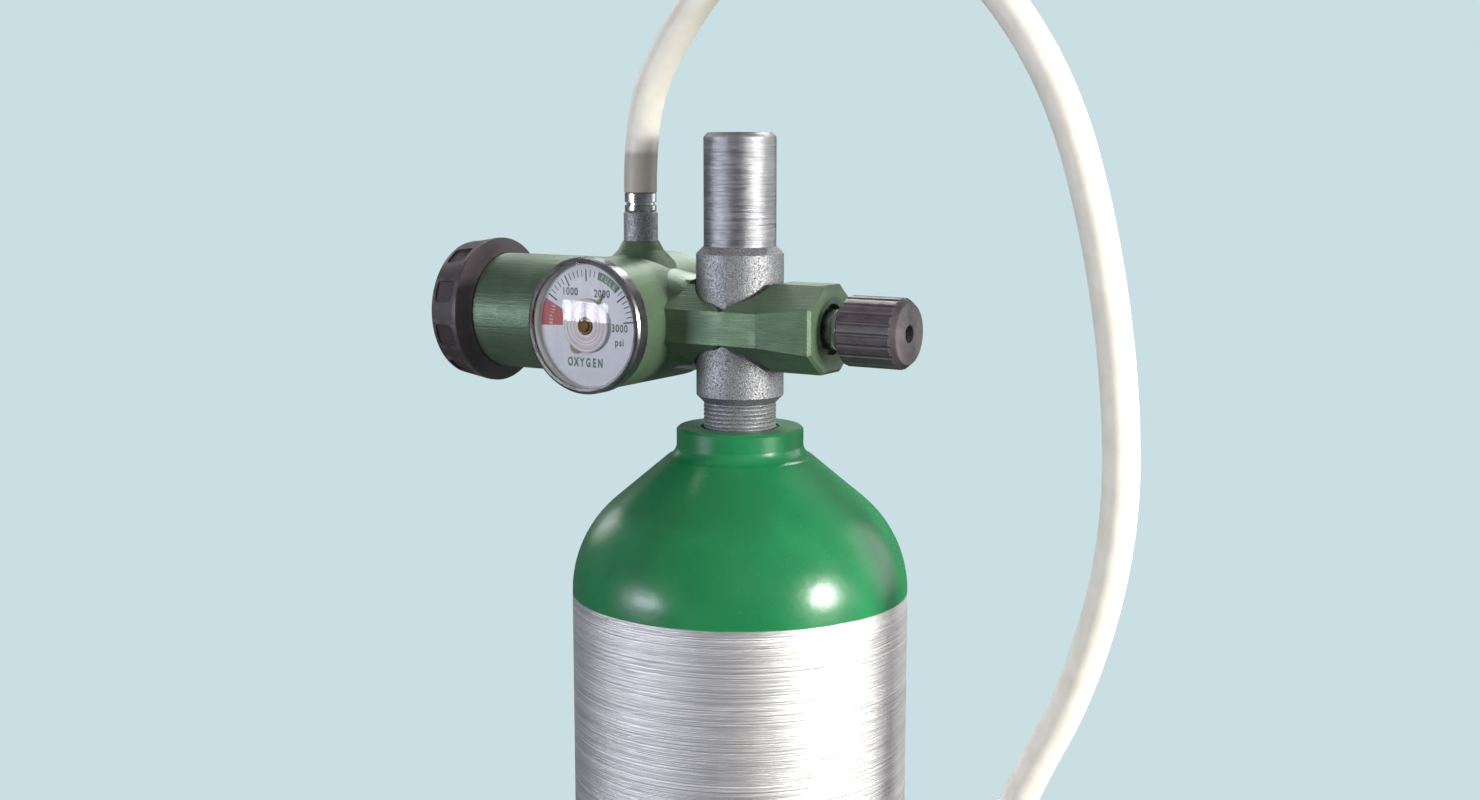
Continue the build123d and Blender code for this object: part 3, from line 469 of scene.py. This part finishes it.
def hose_vinyl():
    """Ivory translucent tubing, greyer over the barb, where the barb shows through and the post's shadow is
    painted in as well.
    """
    m = Finish("hose_vinyl", Subsurface_Weight=0.2, IOR=1.48)
    m.set("Subsurface Radius", (0.006, 0.005, 0.0035))
    m.set("Subsurface Scale", 1.0)
    cloud = m.noise(120, detail=5)
    base = m.mix(m.band(cloud, 0.3, 0.7), rgb(238, 234, 222), rgb(248, 245, 235))
    x, z = m.axis("X"), m.axis("Z")
    # Partly painted shadow: the grey patch over the barb shows the barb through the tube and also stands in
    # for the post's shadow on the hose.
    barb_and_post_shadow = m.math("MULTIPLY", m.band(z, *BARB_TOP, 1.0, 0.0), m.band(z, 0.48, 0.485))
    barb_and_post_shadow = m.math("MULTIPLY", barb_and_post_shadow, m.band(x, -0.025, -0.02, 1.0, 0.0))
    base = m.mix(m.math("MULTIPLY", barb_and_post_shadow, 0.75), base, rgb(168, 160, 152))
    m.set("Base Color", base)
    m.set("Roughness", m.band(m.noise(300, detail=4), 0.3, 0.7, 0.4, 0.52))
    m.bump(m.noise(260, detail=3), 0.00005)
    return m.material


def connector_vinyl():
    """Tinted soft vinyl."""
    m = Finish("connector_vinyl", Subsurface_Weight=0.3, IOR=1.48)
    m.set("Subsurface Radius", (0.004, 0.006, 0.004))
    cloud = m.noise(160, detail=5)
    m.set("Base Color", m.mix(m.band(cloud, 0.3, 0.7), rgb(120, 176, 140), rgb(146, 196, 162)))
    m.set("Roughness", m.band(cloud, 0.3, 0.7, 0.28, 0.4))
    m.bump(m.noise(500, detail=3), 0.00006)
    return m.material


def tie_fabric():
    """Woven strap: two crossing sets of threads."""
    m = Finish("tie_fabric", Sheen_Weight=0.4)
    a = m.add("ShaderNodeTexWave", out=1, Vector=m.place((1, 1, 0)), Scale=420, Distortion=0.6, Detail=2.0)
    b = m.add("ShaderNodeTexWave", out=1, props={"bands_direction": "Z"}, Vector=m.place(), Scale=420,
              Distortion=0.6, Detail=2.0)
    weave = m.math("MAXIMUM", a, b)
    m.set("Base Color", m.mix(weave, rgb(26, 27, 30), rgb(66, 67, 72)))
    m.set("Roughness", m.band(weave, 0, 1, 0.9, 0.7))
    m.bump(weave, 0.0002)
    return m.material


def dial_white():
    """White enamel; the disc over the pointer is pinker and turned in fine rings."""
    m = Finish("dial_white", IOR=1.5)
    cloud = m.noise(200, detail=5)
    spot = m.place(offset=(-GAUGE_X, 0, -REG_Z))
    x = m.add("ShaderNodeSeparateXYZ", out=0, Vector=spot)
    z = m.add("ShaderNodeSeparateXYZ", out=2, Vector=spot)
    radius = m.math("SQRT", m.math("ADD", m.math("MULTIPLY", x, x), m.math("MULTIPLY", z, z)))
    rings = m.math("SINE", m.math("MULTIPLY", radius, 2 * math.pi / (0.9 * MM)))
    disc = m.band(m.axis("Y"), DISC_BACK - 0.0001, DISC_BACK, 1.0, 0.0)
    enamel = m.mix(m.band(cloud, 0.3, 0.7), rgb(216, 219, 230), rgb(230, 232, 240))
    turned = m.mix(m.band(rings, 0.2, 1.0), rgb(236, 229, 233), rgb(216, 206, 211))
    m.set("Base Color", m.mix(disc, enamel, turned))
    m.set("Roughness", m.band(cloud, 0.3, 0.7, 0.3, 0.42))
    fine = m.bump(m.noise(1500, detail=2), 0.00002)
    m.bump(m.math("MULTIPLY", rings, disc), 0.00002, under=fine)
    return m.material


FINISHES = {
    "cylinder_wall": cylinder_wall(),
    "green_finish": green_finish(),
    "cast_metal": cast_metal(),
    "turned_metal": turned_metal(),
    "bright_metal": plated("bright_metal", rgb(176, 178, 182), rgb(224, 225, 228), 0.24, 0.36),
    "steel": plated("steel", rgb(150, 152, 156), rgb(198, 200, 204), 0.22, 0.38),
    "brass": brass(),
    "sintered_bronze": sintered_bronze(),
    "green_washer": moulded("green_washer", rgb(24, 96, 58), rgb(40, 122, 78), 0.4, 0.55),
    "black_rubber": moulded("black_rubber", rgb(22, 22, 23), rgb(38, 38, 40), 0.55, 0.75),
    "white_polymer": moulded("white_polymer", rgb(214, 213, 206), rgb(232, 231, 226), 0.4, 0.55),
    "knob_plastic": knob_plastic(),
    "dial_white": dial_white(),
    "pointer_olive": moulded("pointer_olive", rgb(120, 122, 48), rgb(150, 150, 66), 0.35, 0.5),
    "clear_lens": clear_lens(),
    "hose_vinyl": hose_vinyl(),
    "connector_vinyl": connector_vinyl(),
    "tie_fabric": tie_fabric(),
}


def wear(piece, material):
    """Put one material on a piece's every slot."""
    for slot in piece.material_slots:
        slot.material = material
    if not piece.material_slots:
        piece.data.materials.append(material)


for row in frame["record"]["subparts"]:
    wear(nodes[row["node"]], FINISHES[row["material_slot"]])
wear(hose, FINISHES["hose_vinyl"])
wear(straps, FINISHES["tie_fabric"])

# ---------------------------------------------------------------- dial print
ZERO_ANGLE, FULL_ANGLE, FULL_PSI = 176, 6, 3000
LONG_TICK, SHORT_TICK = (14.3, 18.2, 0.5), (15.8, 18.1, 0.3)  # inner radius, outer radius, width in mm
REFILL_TO, FULL_BAND = 450, (1900, 2300)  # psi: no marks below the first or between the others
INK = 0.03  # mm
SECTOR_STEPS = 24
dial_low, dial_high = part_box("gauge_dial")
TO_DIAL = (
    Matrix.Translation(((dial_low[0] + dial_high[0]) / 2, dial_low[1], (dial_low[2] + dial_high[2]) / 2))
    @ Matrix.Rotation(math.pi / 2, 4, "X") @ Matrix.Scale(MM, 4)
)


def scale_angle(psi):
    return math.radians(ZERO_ANGLE + (FULL_ANGLE - ZERO_ANGLE) * psi / FULL_PSI)


def tick(psi, inner, outer, width):
    """The four corners of one mark of the scale, in mm from the dial's centre."""
    a = scale_angle(psi)
    corners = ((inner, -width / 2), (outer, -width / 2), (outer, width / 2), (inner, width / 2))
    return [(r * math.cos(a) - w * math.sin(a), r * math.sin(a) + w * math.cos(a)) for r, w in corners]


def sector(inner, outer, start, end):
    """Quads that fill a ring between two angles in degrees."""
    turns = [math.radians(start + (end - start) * i / SECTOR_STEPS) for i in range(SECTOR_STEPS + 1)]
    for a, b in zip(turns, turns[1:]):
        yield [(inner * math.cos(a), inner * math.sin(a)), (outer * math.cos(a), outer * math.sin(a)),
               (outer * math.cos(b), outer * math.sin(b)), (inner * math.cos(b), inner * math.sin(b))]


class Print:
    """One ink on the dial: a layer of thin shapes."""

    def __init__(self, name, ink, lift=0.0):
        self.name, self.ink, self.lift = name, ink, lift
        self.shape = bmesh.new()

    def area(self, outline):
        front = [self.shape.verts.new((x, y, INK + self.lift)) for x, y in outline]
        back = [self.shape.verts.new((x, y, -INK / 4)) for x, y in outline]
        self.shape.faces.new(front)
        self.shape.faces.new(back[::-1])
        for i in range(len(outline)):
            self.shape.faces.new((front[i - 1], front[i], back[i], back[i - 1]))

    def word(self, text, size, across, up, turn=0.0, squeeze=0.82, bold=0.02):
        data = bpy.data.curves.new(text, "FONT")
        data.body = text
        data.size = size
        data.align_x = "CENTER"
        data.align_y = "CENTER"
        data.extrude = INK / 2
        data.offset = bold * size
        data.space_character = 1.14
        data.resolution_u = 3
        holder = bpy.data.objects.new(text, data)
        scene.collection.objects.link(holder)
        seen = holder.evaluated_get(bpy.context.evaluated_depsgraph_get())
        mesh = bpy.data.meshes.new_from_object(seen)
        bpy.data.objects.remove(holder)
        mesh.transform(Matrix.Translation((across, up, INK / 2 + self.lift))
                       @ Matrix.Rotation(math.radians(turn), 4, "Z") @ Matrix.Diagonal((squeeze, 1, 1, 1)))
        self.shape.from_mesh(mesh)
        bpy.data.meshes.remove(mesh)

    def along(self, text, size, radius, middle, step):
        """Letters set one by one round the dial, clockwise about a middle angle in degrees."""
        for i, letter in enumerate(text):
            angle = middle - (i - (len(text) - 1) / 2) * step
            a = math.radians(angle)
            self.word(letter, size, radius * math.cos(a), radius * math.sin(a), angle - 90)

    def done(self):
        bmesh.ops.remove_doubles(self.shape, verts=self.shape.verts, dist=0.0005)
        bmesh.ops.recalc_face_normals(self.shape, faces=self.shape.faces)
        mesh = bpy.data.meshes.new(self.name)
        self.shape.to_mesh(mesh)
        self.shape.free()
        mesh.transform(TO_DIAL)
        mesh.materials.append(self.ink)
        layer = bpy.data.objects.new(self.name, mesh)
        scene.collection.objects.link(layer)
        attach(layer, "root")


def ink(name, thin, full):
    """Printing ink, a little uneven."""
    m = Finish(name, IOR=1.5)
    cover = m.band(m.noise(1800, detail=3), 0.3, 0.6)
    cloud = m.band(m.noise(300, detail=4), 0.3, 0.7, 0.5, 1.0)
    m.set("Base Color", m.mix(m.math("MULTIPLY", cover, cloud), thin, full))
    m.set("Roughness", m.band(cover, 0, 1, 0.5, 0.38))
    m.bump(cover, 0.00001)
    return m.material


def print_dial():
    """Scale marks and figures, the two coloured zones with their words, and the gas's name."""
    black = Print("dial_scale", ink("dial_black", rgb(54, 57, 70), rgb(24, 26, 36)))
    for psi in range(0, FULL_PSI + 1, 100):
        if REFILL_TO < psi < FULL_BAND[0] or psi >= FULL_BAND[1]:
            size = SHORT_TICK if psi % 500 else LONG_TICK
            black.area(tick(psi, *size))
    black.word("1000", 3.5, -6.8, 10.7)
    black.word("2000", 3.5, 5.9, 10.4)
    black.word("3000", 3.5, 12.7, -0.4)
    black.word("psi", 3.4, 12.6, -4.9)
    black.done()
    red = Print("dial_refill_zone", ink("dial_red", rgb(194, 52, 54), rgb(180, 22, 32)))
    for quad in sector(9.9, 18.6, 182, 153.5):
        red.area(quad)
    red.done()
    green = Print("dial_full_zone", ink("dial_green_band", rgb(86, 146, 100), rgb(52, 112, 66)))
    for quad in sector(15.6, 18.2, 74.5, 44):
        green.area(quad)
    green.done()
    white = Print("dial_zone_words", ink("dial_pale", rgb(206, 224, 208), rgb(228, 238, 228)), lift=INK)
    white.along("FULL", 2.2, 16.8, 59.3, 6.2)
    white.along("REFILL", 1.9, 14.6, 167.8, 4.4)
    white.done()
    gas = Print("dial_gas_word", ink("dial_green_ink", rgb(66, 126, 92), rgb(30, 88, 58)))
    for i, letter in enumerate("OXYGEN"):
        gas.word(letter, 3.9, -1.0 + (i - 2.5) * 2.4, -12.2, squeeze=0.66, bold=0.045)
    gas.done()


print_dial()

# ---------------------------------------------------------------- stage and light
BACKDROP = rgb(202, 223, 228)
FLOOR_PAINT = tuple(0.62 * c for c in BACKDROP)  # comes up to the backdrop's colour under the lights
# The floor near the object and far from it, as the object's own light and reflections see it.
BOUNCE, FAR_BOUNCE = (0.22, 0.22, 0.23), (0.10, 0.10, 0.11)
FLOOR_R = 12.0
FADE = (0.16, 0.62)  # metres from the object over which the floor becomes the backdrop
ROOM_LOW, ROOM_HIGH, ROOM_STRENGTH = (0.34, 0.34, 0.35, 1), (0.62, 0.62, 0.64, 1), 0.4


def make_floor():
    """A pale disc whose edge fades into the backdrop's colour."""
    mesh = bpy.data.meshes.new("floor")
    shape = bmesh.new()
    bmesh.ops.create_circle(shape, cap_ends=True, segments=96, radius=FLOOR_R)
    shape.to_mesh(mesh)
    shape.free()
    floor = bpy.data.objects.new("floor", mesh)
    scene.collection.objects.link(floor)
    m = Finish("floor", Roughness=0.9)
    m.set("Base Color", m.mix(m.add("ShaderNodeLightPath"), BOUNCE, FLOOR_PAINT))
    spot = m.add("ShaderNodeTexCoord", out=3)
    reach = m.add("ShaderNodeVectorMath", out=1, props={"operation": "LENGTH"}, i0=spot)
    seen = m.add("ShaderNodeLightPath")
    shade = m.mix(seen, FAR_BOUNCE, BACKDROP)
    glow = m.add("ShaderNodeEmission", Color=shade, Strength=1.0)
    fade = m.add("ShaderNodeMixShader", Fac=m.band(reach, *FADE), i1=m.shader.outputs[0], i2=glow)
    m.tree.links.new(fade, m.tree.nodes["Material Output"].inputs["Surface"])
    floor.data.materials.append(m.material)


def make_world():
    """The backdrop's colour behind everything; a dimmer, graded room for light and reflections."""
    world = bpy.data.worlds.new("world")
    scene.world = world
    world.use_nodes = True
    tree = world.node_tree
    room = tree.nodes["Background"]
    spot = tree.nodes.new("ShaderNodeTexCoord")
    split = tree.nodes.new("ShaderNodeSeparateXYZ")
    tree.links.new(spot.outputs["Generated"], split.inputs[0])
    ramp = tree.nodes.new("ShaderNodeValToRGB")
    ramp.color_ramp.elements[0].position = 0.0
    ramp.color_ramp.elements[0].color = ROOM_LOW
    ramp.color_ramp.elements[1].position = 0.6
    ramp.color_ramp.elements[1].color = ROOM_HIGH
    tree.links.new(split.outputs[2], ramp.inputs[0])
    tree.links.new(ramp.outputs[0], room.inputs[0])
    room.inputs[1].default_value = ROOM_STRENGTH
    plain = tree.nodes.new("ShaderNodeBackground")
    plain.inputs[0].default_value = (*BACKDROP, 1)
    path = tree.nodes.new("ShaderNodeLightPath")
    mix = tree.nodes.new("ShaderNodeMixShader")
    tree.links.new(path.outputs["Is Camera Ray"], mix.inputs[0])
    tree.links.new(room.outputs[0], mix.inputs[1])
    tree.links.new(plain.outputs[0], mix.inputs[2])
    tree.links.new(mix.outputs[0], tree.nodes["World Output"].inputs[0])


def lamp_at(name, azimuth, elevation, reach, width, height, power, colour, shape="ELLIPSE", side=0.0,
            glossy=True):
    """An area light aimed at the regulator, at an azimuth round from the camera's side, moved sideways."""
    data = bpy.data.lights.new(name, "AREA")
    data.shape = shape
    data.size, data.size_y = width, height
    data.energy = power
    data.color = colour
    lamp = bpy.data.objects.new(name, data)
    aim = Vector((-0.01, 0, REG_Z))
    a, e = math.radians(CAMERA_AZ + azimuth), math.radians(elevation)
    across = Vector((math.cos(a), math.sin(a), 0))
    out = Vector((math.sin(a) * math.cos(e), -math.cos(a) * math.cos(e), math.sin(e)))
    lamp.location = aim + reach * out
    lamp.location += across * side
    lamp.visible_camera = False
    lamp.visible_glossy = glossy
    lamp.rotation_euler = (aim - lamp.location).to_track_quat("-Z", "Y").to_euler()
    scene.collection.objects.link(lamp)


WARM, COOL, PLAIN = (1.0, 0.97, 0.92), (0.86, 0.89, 1.0), (1.0, 1.0, 1.0)
WINDOW_PANES = (-0.225, -0.085, 0.075, 0.215)  # metres sideways
make_floor()
make_world()
lamp_at("key", 57, 6, 1.3, 0.28, 0.36, 26, WARM)
for number, side in enumerate(WINDOW_PANES):
    lamp_at(f"window_{number + 1}", -66, -0.8, 1.5, 0.11, 0.17, 2.3, COOL, "RECTANGLE", side)
lamp_at("top_back", 172, 44, 1.3, 0.9, 0.4, 14, PLAIN)
lamp_at("front", 4, 30, 2.2, 1.2, 1.2, 9, PLAIN, glossy=False)
lamp_at("back_right", 116, 12, 1.7, 1.0, 1.4, 7, PLAIN)
lamp_at("back_left", -140, 20, 1.5, 0.4, 0.8, 3, PLAIN)
scene.view_settings.view_transform = "Standard"
